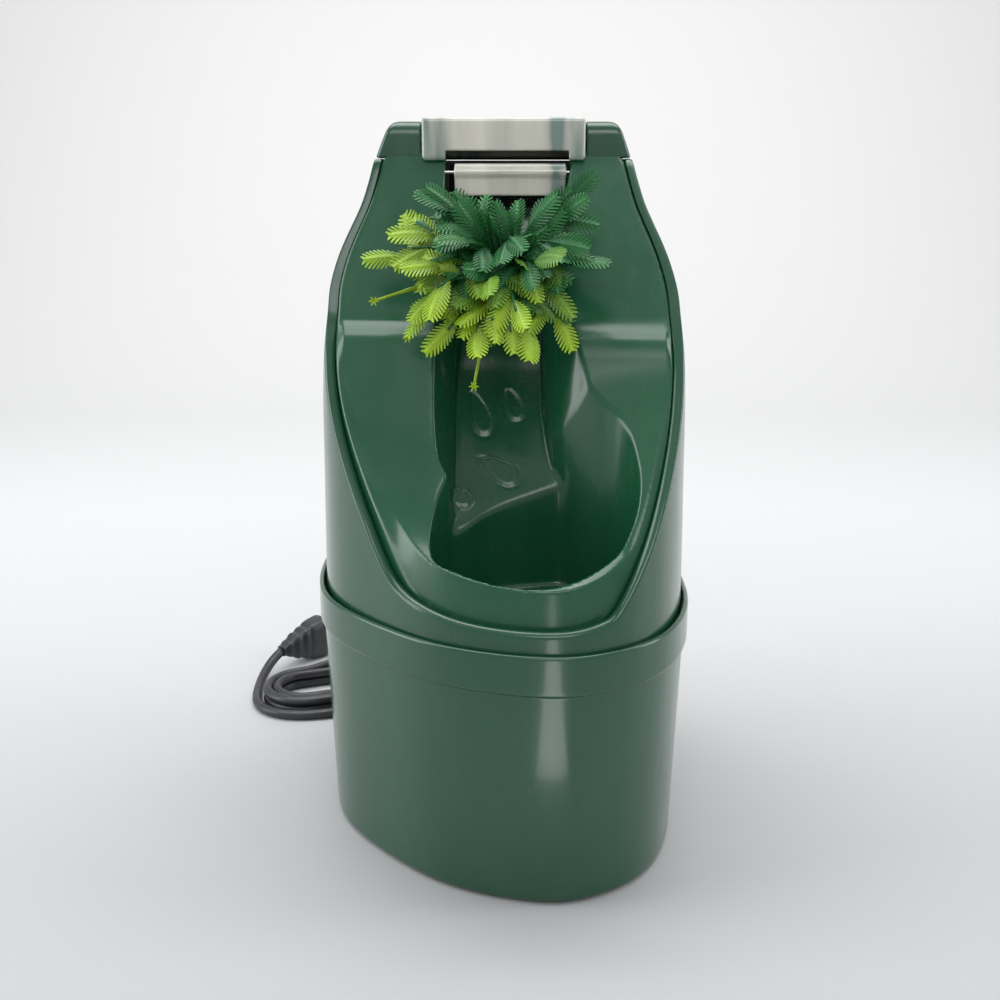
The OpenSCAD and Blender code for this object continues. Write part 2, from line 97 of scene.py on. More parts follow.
def sharpen(obj, angle=35):
    """Smooth shading that breaks at edges sharper than the angle."""
    mesh = obj.data
    bm = bmesh.new()
    bm.from_mesh(mesh)
    limit = math.radians(angle)
    for edge in bm.edges:
        edge.smooth = len(edge.link_faces) != 2 or edge.calc_face_angle(0) < limit
    bm.to_mesh(mesh)
    bm.free()


def apply_modifiers(obj):
    graph = bpy.context.evaluated_depsgraph_get()
    mesh = bpy.data.meshes.new_from_object(obj.evaluated_get(graph))
    obj.modifiers.clear()
    obj.data = mesh


def level_surface(field, low, high, step):
    """Vertices and quads of the surface where field(x, y, z) is zero, as a surface net
    whose vertices are then moved onto the surface along its gradient."""
    axes = [np.arange(a, b + step, step) for a, b in zip(low, high)]
    nx, ny, nz = (len(a) for a in axes)
    values = np.empty((nx, ny, nz), dtype=np.float32)
    slab = 24
    for i in range(0, nx, slab):
        x = axes[0][i:i + slab][:, None, None]
        values[i:i + slab] = field(x, axes[1][None, :, None], axes[2][None, None, :])
    inside = values < 0
    corners = [(a, b, c) for a in (0, 1) for b in (0, 1) for c in (0, 1)]
    corner_sum = sum(
        inside[a:nx - 1 + a, b:ny - 1 + b, c:nz - 1 + c].astype(np.int8) for a, b, c in corners
    )
    cells = np.argwhere((corner_sum > 0) & (corner_sum < 8))
    total = np.zeros((len(cells), 3))
    count = np.zeros(len(cells))
    for p in corners:
        for axis in range(3):
            if p[axis]:
                continue
            q = tuple(1 if k == axis else p[k] for k in range(3))
            f0 = values[cells[:, 0] + p[0], cells[:, 1] + p[1], cells[:, 2] + p[2]]
            f1 = values[cells[:, 0] + q[0], cells[:, 1] + q[1], cells[:, 2] + q[2]]
            crossing = (f0 < 0) != (f1 < 0)
            t = np.where(crossing, f0 / np.where(crossing, f0 - f1, 1), 0)
            place = np.tile(np.array(p, float), (len(cells), 1))
            place[:, axis] = t
            total += place * crossing[:, None]
            count += crossing
    start = np.array([a[0] for a in axes])
    points = start + (cells + total / np.maximum(count, 1)[:, None]) * step
    number = np.full((nx, ny, nz), -1, dtype=np.int64)
    number[cells[:, 0], cells[:, 1], cells[:, 2]] = np.arange(len(cells))
    quads = []
    for axis in range(3):
        b, c = (axis + 1) % 3, (axis + 2) % 3
        upper = [slice(1, None)] * 3
        upper[axis] = slice(0, -1)
        first = inside[tuple(upper)]
        upper[axis] = slice(1, None)
        second = inside[tuple(upper)]
        edges = np.argwhere(first != second)
        shift = np.array([1, 1, 1])
        shift[axis] = 0
        edges = edges + shift
        flip = inside[edges[:, 0], edges[:, 1], edges[:, 2]]
        ring = []
        for db, dc in ((-1, -1), (0, -1), (0, 0), (-1, 0)):
            cell = edges.copy()
            cell[:, b] += db
            cell[:, c] += dc
            ring.append(number[cell[:, 0], cell[:, 1], cell[:, 2]])
        ring = np.stack(ring, 1)
        ring[~flip] = ring[~flip][:, ::-1]
        quads.append(ring[(ring >= 0).all(1)])
    quads = np.concatenate(quads)
    reach = 0.3 * step
    h = 0.05
    for _ in range(4):
        x, y, z = points.T
        f = field(x, y, z)
        g = np.stack([
            field(x + h, y, z) - field(x - h, y, z),
            field(x, y + h, z) - field(x, y - h, z),
            field(x, y, z + h) - field(x, y, z - h),
        ], 1) / (2 * h)
        length = np.maximum(np.linalg.norm(g, axis=1), 0.3)
        move = np.clip(f / length, -reach, reach)
        points = points - g / length[:, None] * move[:, None]
    return points, quads


def surface_object(name, field, low, high, step):
    """A mesh object of the field's zero surface, inside the box from low to high."""
    points, quads = level_surface(field, low, high, step)
    mesh = bpy.data.meshes.new(name)
    mesh.vertices.add(len(points))
    mesh.vertices.foreach_set("co", (points * MM).ravel())
    mesh.loops.add(quads.size)
    mesh.loops.foreach_set("vertex_index", quads.ravel().astype(np.int32))
    mesh.polygons.add(len(quads))
    mesh.polygons.foreach_set("loop_start", np.arange(0, quads.size, 4, dtype=np.int32))
    mesh.update(calc_edges=True)
    mesh.validate()
    return link_mesh(name, mesh)


def smooth_max(a, b, r):
    """The larger of two fields, with a fillet of about radius r where they meet."""
    h = np.maximum(r - np.abs(a - b), 0)
    return np.maximum(a, b) + h * h / (4 * r)


def smooth_min(a, b, r):
    return -smooth_max(-a, -b, r)


def smooth_step(a, b, x):
    t = np.clip((x - a) / (b - a), 0, 1)
    return t * t * (3 - 2 * t)


def table(points):
    """A smooth curve through the points, level beyond its ends."""
    xs, ys = np.array(points, float).T
    d = np.diff(ys) / np.diff(xs)
    m = np.concatenate([[d[0]], (d[:-1] + d[1:]) / 2, [d[-1]]])

    def value(x):
        x = np.clip(x, xs[0], xs[-1])
        i = np.clip(np.searchsorted(xs, x, side="right") - 1, 0, len(xs) - 2)
        h = xs[i + 1] - xs[i]
        t = (x - xs[i]) / h
        return ((2 * t**3 - 3 * t**2 + 1) * ys[i] + (t**3 - 2 * t**2 + t) * h * m[i]
                + (3 * t**2 - 2 * t**3) * ys[i + 1] + (t**3 - t**2) * h * m[i + 1])

    return value


# ---------------- plan and heights
PLAN = np.array([
    (-77.6, 12), (-74, -18), (-62, -40), (-42, -62), (-21, -81), (19, -93),
    (40, -86), (62, -71), (76, -34), (77, -1), (77, 35), (75, 67),
    (58, 89), (19, 90), (-19, 90), (-59, 89), (-75, 66), (-77, 39),
], float)
PLAN_HALF = 77
RIM_Z = 104
SHOULDER_Z = 278
HOOD_Z = 293
TOP_Y = 25
TOP_SHIFT = 1.5
DEPTH_TAPER = 0.0003
FRONT_Y = -75.4
FRONT_SLANT = 0.14
WALL = 2.2
TRAY_WALL = 3.2
OUTER = -0.5
BEAD = 4.4
BEAD_FLAT = (50, 66)


def spline(control, count):
    """Points and outward normals along the closed B-spline of the control points."""
    n = len(control)
    u = np.linspace(0, n, count, endpoint=False)
    i = np.floor(u).astype(int)
    t = (u - i)[:, None]
    a, b, c, d = (control[(i + k) % n] for k in (-1, 0, 1, 2))
    place = ((1 - t)**3 * a + (3 * t**3 - 6 * t**2 + 4) * b
             + (1 + 3 * t + 3 * t**2 - 3 * t**3) * c + t**3 * d) / 6
    slope = (-(1 - t)**2 * a + (3 * t**2 - 4 * t) * b + (1 + 2 * t - 3 * t**2) * c + t**2 * d) / 2
    normal = np.stack([slope[:, 1], -slope[:, 0]], 1)
    return place, normal / np.linalg.norm(normal, axis=1)[:, None]


COLUMNS = 432
PLAN_AT, PLAN_OUT = spline(PLAN, COLUMNS)
dense, _ = spline(PLAN, 7200)
order = np.argsort(np.arctan2(dense[:, 1], dense[:, 0]))
ANGLES = np.arctan2(dense[:, 1], dense[:, 0])[order]
RADII = np.hypot(dense[:, 0], dense[:, 1])[order]
SLOPES = np.gradient(RADII, ANGLES)


def plan_distance(x, y):
    """About how far a point lies outside the plan outline."""
    angle = np.arctan2(y, x)
    radius = np.interp(angle, ANGLES, RADII, period=2 * math.pi)
    slope = np.interp(angle, ANGLES, SLOPES, period=2 * math.pi)
    return (np.hypot(x, y) - radius) / np.sqrt(1 + (slope / radius)**2)


SHOULDER_HALF = 53.6
half_width = table([
    (90, 76.5), (150, 75.6), (200, 74.2), (218, 72), (227, 71), (238, 68), (246, 64.8),
    (252, 62), (260, 58.5), (269, 55.8), (SHOULDER_Z, SHOULDER_HALF), (HOOD_Z, 48),
])


def top_shift(z):
    """How far the housing's middle stands to the right at the height z."""
    return TOP_SHIFT * (PLAN_HALF - half_width(z)) / (PLAN_HALF - SHOULDER_HALF)


def depth_scale(z):
    return 1 - DEPTH_TAPER * (z - RIM_Z)


def outside(x, y, z):
    """Distance outside the housing's outer wall at the height z."""
    wide = half_width(z) / PLAN_HALF
    return plan_distance((x - top_shift(z)) / wide, y / depth_scale(z)) - OUTER


def along(x, y):
    """Distance back from the face's slanting front, in plan."""
    return y - FRONT_Y + FRONT_SLANT * x


low_ridge = table([
    (-16, 111.5), (-10, 112.5), (-3, 115), (4, 118.5), (9, 123), (14, 132), (19, 142.5),
    (25, 154), (32, 167), (40, 181), (50, 197), (62, 212), (75, 226), (90, 236),
])
low_face = table([
    (-16, 124), (-6, 126), (0, 128.8), (8, 134), (15, 140), (22, 148), (30, 160),
    (38, 172), (46, 186.5), (50, 194), (54, 202), (57, 207.8), (60, 211), (64.5, 214.8), (68, 217),
])
CREASE_W = 64.5
CREASE_Z = 215


def upper_face(x, y):
    crease_y = CREASE_W + FRONT_Y - FRONT_SLANT * x
    return CREASE_Z + (SHOULDER_Z - CREASE_Z) * (y - crease_y) / (TOP_Y - crease_y)


def face_height(x, y):
    """The sloping face, creased where the steeper part begins."""
    return smooth_max(low_face(along(x, y)), upper_face(x, y), 1.6)


def ridge_height(x, y):
    """Top of the rolled edge round the face."""
    rising = smooth_max(low_ridge(along(x, y)), upper_face(x, y), 3.0)
    return smooth_min(rising, SHOULDER_Z + 0 * x, 3.0)


# ---------------- materials
def grey(value):
    return (value, value, value)


class Finish:
    """A material round one Principled shader. Uniform values go straight on its sockets."""

    def __init__(self, name, values):
        self.material = bpy.data.materials.new(name)
        self.material.use_nodes = True
        self.nodes = self.material.node_tree.nodes
        self.links = self.material.node_tree.links
        self.inputs = self.nodes["Principled BSDF"].inputs
        for socket, value in values.items():
            self.inputs[socket].default_value = value

    def reader(self, kind, stretch=None, **values):
        """A node that reads the object's own coordinates."""
        made = self.nodes.new(kind)
        for socket, value in values.items():
            made.inputs[socket].default_value = value
        source = self.nodes.new("ShaderNodeTexCoord").outputs["Object"]
        if stretch:
            mapping = self.nodes.new("ShaderNodeMapping")
            mapping.inputs["Scale"].default_value = stretch
            self.links.new(source, mapping.inputs["Vector"])
            source = mapping.outputs["Vector"]
        self.links.new(source, made.inputs["Vector"])
        return made

    def noise(self, scale, detail=3.0, rough=0.55, stretch=None):
        made = self.reader("ShaderNodeTexNoise", stretch, Scale=scale, Detail=detail, Roughness=rough)
        return made.outputs["Fac"]

    def ramp(self, source, socket, *stops):
        """Drives a socket by a colour ramp on the source; stops are (place, colour)."""
        made = self.nodes.new("ShaderNodeValToRGB")
        elements = made.color_ramp.elements
        while len(elements) < len(stops):
            elements.new(0.5)
        for element, (place, colour) in zip(elements, stops):
            element.position = place
            element.color = (*colour, 1)
        self.links.new(source, made.inputs["Fac"])
        driven = self.inputs[socket] if isinstance(socket, str) else socket
        self.links.new(made.outputs["Color"], driven)

    def bumps(self, *layers):
        """Chains bump layers of (source, strength, distance in metres); gives the material."""
        last = None
        for source, strength, distance in layers:
            bump = self.nodes.new("ShaderNodeBump")
            bump.inputs["Strength"].default_value = strength
            bump.inputs["Distance"].default_value = distance
            self.links.new(source, bump.inputs["Height"])
            if last:
                self.links.new(last, bump.inputs["Normal"])
            last = bump.outputs["Normal"]
        self.links.new(last, self.inputs["Normal"])
        return self.material


def moulded(name, dark, light, rough, coat=0.3):
    """Glossy moulded plastic: slight colour drift, uneven polish, orange peel and fine dust."""
    flow, bump = (1, 1, 0.25), 0.03
    f = Finish(name, {"IOR": 1.52, "Coat Weight": coat, "Coat Roughness": 0.08})
    f.ramp(f.noise(14, 4, 0.6, flow), "Base Color", (0.3, dark), (0.72, light))
    f.ramp(f.noise(55, 5, 0.7, flow), "Roughness", (0.35, grey(rough[0])), (0.7, grey(rough[1])))
    wave, peel, dust = f.noise(36, 2, 0.4), f.noise(420, 2, 0.4), f.noise(1900, 1, 0.4)
    return f.bumps((wave, bump, 0.0005), (peel, bump, 0.00006), (dust, bump, 0.00002))


def smoked():
    """Smoked clear styrene, a little scratched. Its base colour carries painted reflection: pale
    streaks stretched up and down, much brighter than smoked plastic.
    """
    f = Finish("smoked_styrene", {
        "Transmission Weight": 0.12, "IOR": 1.55, "Coat Weight": 0.6, "Coat Roughness": 0.04,
    })
    # Painted reflection: the dark stop is the plastic's own smoked tint, while the pale streaked stops
    # stand in for lamps mirrored in the glossy lid.
    f.ramp(f.noise(60, 3, 0.5, (1, 1, 0.12)), "Base Color",
           (0.34, (0.22, 0.30, 0.27)), (0.44, (0.62, 0.62, 0.54)), (0.62, (0.84, 0.81, 0.70)))
    scratches = f.noise(300, 3, 0.6, (1, 1, 0.08))
    f.ramp(scratches, "Roughness", (0.4, grey(0.05)), (0.75, grey(0.16)))
    return f.bumps((scratches, 0.05, 0.0001))


def matt(name, dark, light, rough, scale=90, bump=0.2, grain=900, metal=0.0):
    """Satin plastic, rubber or bare metal with fine grain."""
    f = Finish(name, {"Metallic": metal})
    f.ramp(f.noise(scale, 4), "Base Color", (0.3, dark), (0.7, light))
    f.ramp(f.noise(scale * 2.3, 4), "Roughness", (0.3, grey(rough[0])), (0.7, grey(rough[1])))
    return f.bumps((f.noise(grain, 2), bump, 0.00008))


def foliage():
    """Soft moulded leaf plastic; its tint comes from each leaf's own colour."""
    f = Finish("plant_leaf_plastic", {
        "Subsurface Weight": 0.12, "Subsurface Radius": (0.001, 0.003, 0.0005),
    })
    tint = f.nodes.new("ShaderNodeVertexColor")
    tint.layer_name = "tint"
    mix = f.nodes.new("ShaderNodeMix")
    mix.data_type = "RGBA"
    mix.blend_type = "MULTIPLY"
    mix.inputs["Factor"].default_value = 1
    mottle = f.noise(260, 3)
    f.links.new(tint.outputs["Color"], mix.inputs["A"])
    f.ramp(mottle, mix.inputs["B"], (0.25, grey(0.72)), (0.75, grey(1.0)))
    f.links.new(mix.outputs["Result"], f.inputs["Base Color"])
    f.ramp(mottle, "Roughness", (0.3, grey(0.3)), (0.7, grey(0.48)))
    return f.bumps((f.noise(700, 2), 0.25, 0.0001))


def clear_vinyl():
    """Clear tube with a faint film of scale."""
    f = Finish("clear_vinyl", {"Transmission Weight": 0.7, "IOR": 1.5})
    f.ramp(f.noise(40, 3), "Base Color", (0.3, (0.62, 0.68, 0.64)), (0.7, (0.75, 0.78, 0.74)))
    film = f.noise(160, 4)
    f.ramp(film, "Roughness", (0.3, grey(0.16)), (0.7, grey(0.4)))
    return f.bumps((film, 0.1, 0.0001))


def foam():
    f = Finish("open_foam", {"Roughness": 0.95})
    cells = f.reader("ShaderNodeTexVoronoi", Scale=700).outputs["Distance"]
    f.ramp(cells, "Base Color", (0.05, (0.08, 0.085, 0.09)), (0.6, (0.008, 0.009, 0.01)))
    return f.bumps((cells, 0.9, 0.0008))


def banded(name, axis, scale, stops, metal, rough, bump, depth):
    """Fine lines across the axis: stacked sheets, or close turns of wire."""
    f = Finish(name, {"Metallic": metal, "Roughness": rough})
    wave = f.reader("ShaderNodeTexWave", Scale=scale)
    wave.bands_direction = axis
    f.ramp(wave.outputs["Fac"], "Base Color", *stops)
    return f.bumps((wave.outputs["Fac"], bump, depth))


GREEN = moulded("green_body_plastic", (0.009, 0.060, 0.030), (0.013, 0.074, 0.038), rough=(0.18, 0.3))
GREEN_TRAY = moulded("green_tray_plastic", (0.007, 0.068, 0.029), (0.011, 0.085, 0.037),
                     rough=(0.2, 0.32), coat=0.2)
SMOKED = smoked()
STEEL = matt("polished_steel", grey(0.55), grey(0.65), (0.12, 0.25), 60, 0.05, 1200, 1.0)
BOX_PLASTIC = matt("filter_box_plastic", (0.008, 0.03, 0.02), (0.014, 0.045, 0.03), (0.35, 0.5))
PUMP_PLASTIC = matt("pump_plastic", grey(0.012), grey(0.02), (0.35, 0.5))
DIAL_PLASTIC = matt("dial_plastic", grey(0.1), grey(0.15), (0.35, 0.5))
MAGNET = matt("sintered_ferrite", grey(0.03), grey(0.06), (0.4, 0.6), 200, 0.4, 1500, 0.3)
VANE_PLASTIC = matt("vane_plastic", (0.62, 0.62, 0.58), (0.72, 0.71, 0.67), (0.3, 0.45))
CERAMIC = matt("ceramic", (0.75, 0.73, 0.68), (0.82, 0.8, 0.75), (0.08, 0.18))
RUBBER = matt("black_rubber", grey(0.012), grey(0.022), (0.5, 0.7))
GREY_RUBBER = matt("grey_rubber", grey(0.07), grey(0.1), (0.5, 0.7))
CORD_VINYL = matt("cord_vinyl", (0.017, 0.018, 0.021), (0.03, 0.031, 0.036), (0.32, 0.48), 150, 0.15)
BRASS = matt("plated_brass", (0.62, 0.55, 0.38), (0.74, 0.68, 0.52), (0.15, 0.3), 200, 0.08, 1500, 1.0)
STEM_PLASTIC = matt("stem_plastic", (0.16, 0.36, 0.03), (0.28, 0.5, 0.05), (0.35, 0.5), 120)
LEAF = foliage()
LAMINATIONS = banded("steel_laminations", "Y", 600, [(0.2, grey(0.08)), (0.6, grey(0.3))],
                     0.8, 0.45, 0.5, 0.0002)
COPPER_TURNS = banded("copper_turns", "X", 500, [(0.1, (0.2, 0.05, 0.02)), (0.6, (0.62, 0.2, 0.07))],
                      0.9, 0.3, 0.8, 0.0003)


def finish_piece(obj, material, slot, body, *replaced):
    """Gives a piece its material and body, and hides the CAD nodes it stands for. The slot argument is
    not used.
    """
    obj.data.materials.clear()
    obj.data.materials.append(material)
    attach(obj, body)
    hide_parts(*replaced)
    return obj


# ---------------- mains cord
CORD_D = 5.0
CORD_R = CORD_D / 2
CORD_SIDES = 20
HANK_LEFT = np.array([-104.0, 103.0])
HANK_TURN = math.radians(19)
HANK_RUN = 80.0
INNER_R = 15.0
OUTER_R = 20.0
TURNS = 4
LEAD_OUT = [
    (40, 109, 98), (40, 114.5, 97.3), (40, 120, 95), (40, 125, 90.5), (40, 128.5, 84),
    (40, 130.5, 75), (40, 131.3, 64), (40, 131.6, 52), (40, 131.7, 40), (39.3, 131.5, 28),
    (36, 130.4, 17), (29.5, 128.2, 8.5), (20, 124.8, 4), (9, 121, 2.6), (-2, 117.2, 2.5),
    (-13, 113.3, 2.5), (-21.9, 110.1, 2.5),
]
TAIL = [
    (-21.9, 110.1, 12.5), (-36, 103.6, 12.4), (-48, 96.6, 11.4), (-60, 90, 8.6), (-72, 84.8, 5),
    (-84, 81, 2.9), (-95, 78.2, 2.5), (-104, 77.3, 2.5), (-113, 78.6, 2.5), (-121.5, 83.6, 2.5),
    (-127.4, 91.6, 2.5), (-130, 101, 2.5), (-131, 111, 2.7), (-131.2, 121, 3.6), (-130, 130, 5.6),
    (-127.4, 137.6, 8.4), (-124, 143, 11),
]


def turned(points, angle, place):
    """Points turned by the angle in plan, then moved so that the origin is at the place."""
    x, y, z = np.asarray(points, float).T
    c, s = math.cos(angle), math.sin(angle)
    return np.stack([place[0] + c * x - s * y, place[1] + s * x + c * y, z], 1)


def hank_route():
    """Four turns, each along the front run to the left, round, back along the rear run and
    round again. Each moves to its next cell once the later turns have moved to theirs."""
    low, middle, high = CORD_R, 3 * CORD_R, 5 * CORD_R
    cells = [(OUTER_R, low), (INNER_R, low), (INNER_R, middle), (OUTER_R, middle), (OUTER_R, high)]
    mean_r = (INNER_R + OUTER_R) / 2
    shift_length = (HANK_RUN + math.pi * mean_r) / TURNS
    stations = [("front", s) for s in np.linspace(HANK_RUN, 0, 9)[:-1]]
    stations += [("left", a) for a in np.linspace(0, math.pi, 13)[:-1]]
    stations += [("rear", s) for s in np.linspace(0, HANK_RUN, 13)[:-1]]
    stations += [("right", a) for a in np.linspace(math.pi, 0, 15)[:-1]]
    points = []
    for turn in range(TURNS):
        (r0, z0), (r1, z1) = cells[turn:turn + 2]
        start = (TURNS - 1 - turn) * shift_length
        for kind, t in stations:
            gone = {"rear": t, "right": HANK_RUN + (math.pi - t) * mean_r}.get(kind, -1)
            m = float(smooth_step(start, start + shift_length, gone))
            r = r0 + (r1 - r0) * m
            s, out = {
                "front": (t, -r), "left": (-r * math.sin(t), -r * math.cos(t)), "rear": (t, r),
                "right": (HANK_RUN + r * math.sin(t), -r * math.cos(t)),
            }[kind]
            points.append((s, out, z0 + (z1 - z0) * m))
    return turned(points, HANK_TURN, HANK_LEFT).tolist()


def rounded_route(points, step=2.5):
    """The smooth curve through the points, at an even step."""
    p = np.array(points, float)
    ends = np.vstack([2 * p[0] - p[1], p, 2 * p[-1] - p[-2]])
    knots = np.concatenate([[0], np.cumsum(np.linalg.norm(np.diff(ends, axis=0), axis=1)**0.5)])

    def line(a, b, t0, t1):
        return (t1 - t) / (t1 - t0) * a + (t - t0) / (t1 - t0) * b

    out = []
    for k in range(1, len(ends) - 2):
        t0, t1, t2, t3 = knots[k - 1:k + 3]
        p0, p1, p2, p3 = ends[k - 1:k + 3]
        t = np.linspace(t1, t2, max(2, int(np.linalg.norm(p2 - p1))), endpoint=False)[:, None]
        middle = line(p1, p2, t1, t2)
        before = line(line(p0, p1, t0, t1), middle, t0, t2)
        after = line(middle, line(p2, p3, t2, t3), t1, t3)
        out.append(line(before, after, t1, t2))
    out = np.vstack(out + [p[-1]])
    out[:, 2] = np.maximum(out[:, 2], CORD_R)
    gone = np.concatenate([[0], np.cumsum(np.linalg.norm(np.diff(out, axis=0), axis=1))])
    even = np.linspace(0, gone[-1], int(gone[-1] / step) + 1)
    return np.stack([np.interp(even, gone, out[:, k]) for k in range(3)], 1)


def carried_rings(route, radii, start, sides, profile=np.ones_like):
    """Rings of points round a route, carried along it without twist."""
    tangents = np.gradient(route, axis=0)
    tangents /= np.linalg.norm(tangents, axis=1)[:, None]
    angles = np.linspace(0, 2 * math.pi, sides, endpoint=False)
    form = profile(angles)
    side = np.array(start, float)
    rings = []
    for place, tangent, radius in zip(route, tangents, radii):
        side = side - tangent * (side @ tangent)
        side /= np.linalg.norm(side)
        other = np.cross(tangent, side)
        ring = np.outer(np.cos(angles) * form, side) + np.outer(np.sin(angles) * form, other)
        rings.append(place + radius * ring)
    return np.concatenate(rings)


def twin_flex(angles):
    """A cord moulded over two wires: round, with a shallow groove above and below."""
    return 1 - 0.13 * np.exp((np.abs(np.cos(angles)) - 1) / 0.035)


full_route = rounded_route(LEAD_OUT[:-1] + hank_route() + TAIL)
rings = carried_rings(full_route, [CORD_R] * len(full_route), (0, 0, 1), CORD_SIDES, twin_flex)
cord = add_mesh("mains_cord", rings, sweep_faces(len(full_route), CORD_SIDES, caps=True))
finish_piece(cord, CORD_VINYL, "cord_black", "tank", "power_cord", "cord_hank")

PLUG_REAR = np.array([-124.0, 143.0])
PLUG_TURN = math.radians(50)
PLUG_LONG = 32
PLUG_MIDDLE = 11.0
PLUG_RISE = 0.8
BLADE_SPACING = 12.7


def plug_place(points):
    """From the plug's own frame, with its blades along +X, to the row's."""
    return turned(points, PLUG_TURN, PLUG_REAR)


def make_plug():
    """A flat two-blade plug: its outline swells to the face, with three finger steps."""
    half_tall = table([
        (0, 3.4), (3, 4.0), (8, 6.6), (14, 8.6), (20, 10.6), (26, 11.6), (30, 11.8), (PLUG_LONG, 11.0),
    ])
    half_thick = table([(0, 3.2), (6, 4.4), (14, 5.6), (24, 6.6), (30, 6.7), (PLUG_LONG, 6.2)])
    rows = []
    sides = 40
    squareness = 0.45
    angles = np.linspace(0, 2 * math.pi, sides, endpoint=False)
    c, s = np.cos(angles), np.sin(angles)
    for x in np.concatenate([np.linspace(0, 31.2, 79), [31.7, PLUG_LONG]]):
        steps = 0.5 + 0.5 * math.cos(2 * math.pi * (x - 1) / 5.6)
        rib = 0.75 * steps * (1 - float(smooth_step(17, 22, x)))
        rounding = max(0, x - 31.4)
        tall = float(half_tall(x)) - rib - rounding
        thick = float(half_thick(x)) - 0.4 * rib - rounding
        y = thick * np.sign(c) * np.abs(c)**squareness
        z = tall * np.sign(s) * np.abs(s)**squareness
        middle = PLUG_MIDDLE + PLUG_RISE * x / PLUG_LONG
        rows.append(np.stack([np.full(sides, x), y, z + middle], 1))
    points = plug_place(np.concatenate(rows))
    return add_mesh("plug_moulding", points, sweep_faces(len(rows), sides, caps=True))


def make_blades():
    """Two flat blades with chamfered tips and a round hole each."""
    bm = bmesh.new()
    middle = PLUG_MIDDLE + PLUG_RISE
    outline = [(31, -3.15), (46.4, -3.15), (49, -1.6), (49, 1.6), (46.4, 3.15), (31, 3.15)]
    hole = [(44 + 1.6 * math.cos(a), 1.6 * math.sin(a))
            for a in np.linspace(0, 2 * math.pi, 16, False)]
    for z in (middle - BLADE_SPACING / 2, middle + BLADE_SPACING / 2):
        layers = []
        for level in (z - 0.75, z + 0.75):
            outer = [bm.verts.new(plug_place([(x, y, level)])[0]) for x, y in outline]
            inner = [bm.verts.new(plug_place([(x, y, level)])[0]) for x, y in hole]
            layers.append((outer, inner))
        for outer, inner in layers:
            edges = [bm.edges.new((ring[i], ring[(i + 1) % len(ring)])) for ring in (outer, inner)
                     for i in range(len(ring))]
            bmesh.ops.triangle_fill(bm, edges=edges, use_beauty=True)
        for ring in (0, 1):
            a, b = layers[0][ring], layers[1][ring]
            for i in range(len(a)):
                j = (i + 1) % len(a)
                bm.faces.new((a[i], a[j], b[j], b[i]))
    bmesh.ops.recalc_face_normals(bm, faces=bm.faces)
    mesh = bpy.data.meshes.new("plug_prongs")
    bm.to_mesh(mesh)
    bm.free()
    mesh.transform(Matrix.Scale(MM, 4))
    obj = link_mesh("plug_prongs", mesh, smooth=False)
    bevel = obj.modifiers.new("bevel", "BEVEL")
    bevel.width = 0.0002
    bevel.segments = 2
    apply_modifiers(obj)
    return obj


plug = finish_piece(make_plug(), CORD_VINYL, "cord_black", "tank", "plug_body")
sharpen(plug, 40)
blades = finish_piece(make_blades(), BRASS, "blade_brass", "tank", "plug_blades")


# ---------------- tank
def offset_row(d, z):
    """The plan outline moved out by d, at the height z."""
    ring = PLAN_AT + d * PLAN_OUT
    return np.column_stack([ring, np.full(COLUMNS, z)])


def arc(centre, radius, start, end, count):
    """Points of an arc in a section, as (offset, height)."""
    angles = np.radians(np.linspace(start, end, count))
    return [(centre[0] + radius * math.cos(a), centre[1] + radius * math.sin(a)) for a in angles]


def make_tank():
    """The tank's section, from its foot up the outside, over the rim and down inside, carried
    round the plan."""
    foot = -2.6
    section = arc((foot - 2.4, 3.2), 2.4, -90, 0, 7)
    section += [(foot + (0.4 - foot) * (z - 3.2) / 84.2, z) for z in np.linspace(6, 86.6, 24)]
    section += arc((1.0, 87.4), 0.6, 180, 110, 4)
    section += arc((1.0, 89.4), 1.0, -80, 0, 6)
    section += [(2.0, z) for z in np.linspace(91, 102.4, 6)]
    section += arc((1.0, 103), 1.0, 0, 90, 6)
    section += arc((0.7, 103.2), 0.8, 90, 180, 5)
    section += [(-0.1, z) for z in np.linspace(102, 91, 5)]
    section += [(-0.1, 90.0), (-1.6, 90.0), (-2.0, 89.6)]
    section += [(-2.0 - 3.0 * (88 - z) / 85, z) for z in np.linspace(88, 8, 12)]
    section += arc((-7.4, 5.6), 2.6, 0, -90, 6)
    rows = [offset_row(d, z) for d, z in section]
    return add_mesh("tank_shell", np.concatenate(rows), sweep_faces(len(rows), COLUMNS, caps=True))


def cut_block(obj, low, high):
    """Cuts a rounded block out of the object."""
    bpy.ops.mesh.primitive_cube_add(size=1)
    block = bpy.context.object
    block.name = "cutter"
    low, high = np.array(low) * MM, np.array(high) * MM
    block.location = (low + high) / 2
    block.scale = high - low
    bevel = block.modifiers.new("bevel", "BEVEL")
    bevel.width = 0.0012
    bevel.segments = 4
    cut = obj.modifiers.new("cut", "BOOLEAN")
    cut.operation = "DIFFERENCE"
    cut.solver = "EXACT"
    cut.object = block
    apply_modifiers(obj)
    bpy.data.objects.remove(block)


tank = make_tank()
cut_block(tank, (35.5, 80, 93.5), (44.5, 100, 120))
finish_piece(tank, GREEN, "green_body", "tank", "reservoir")
sharpen(tank, 40)


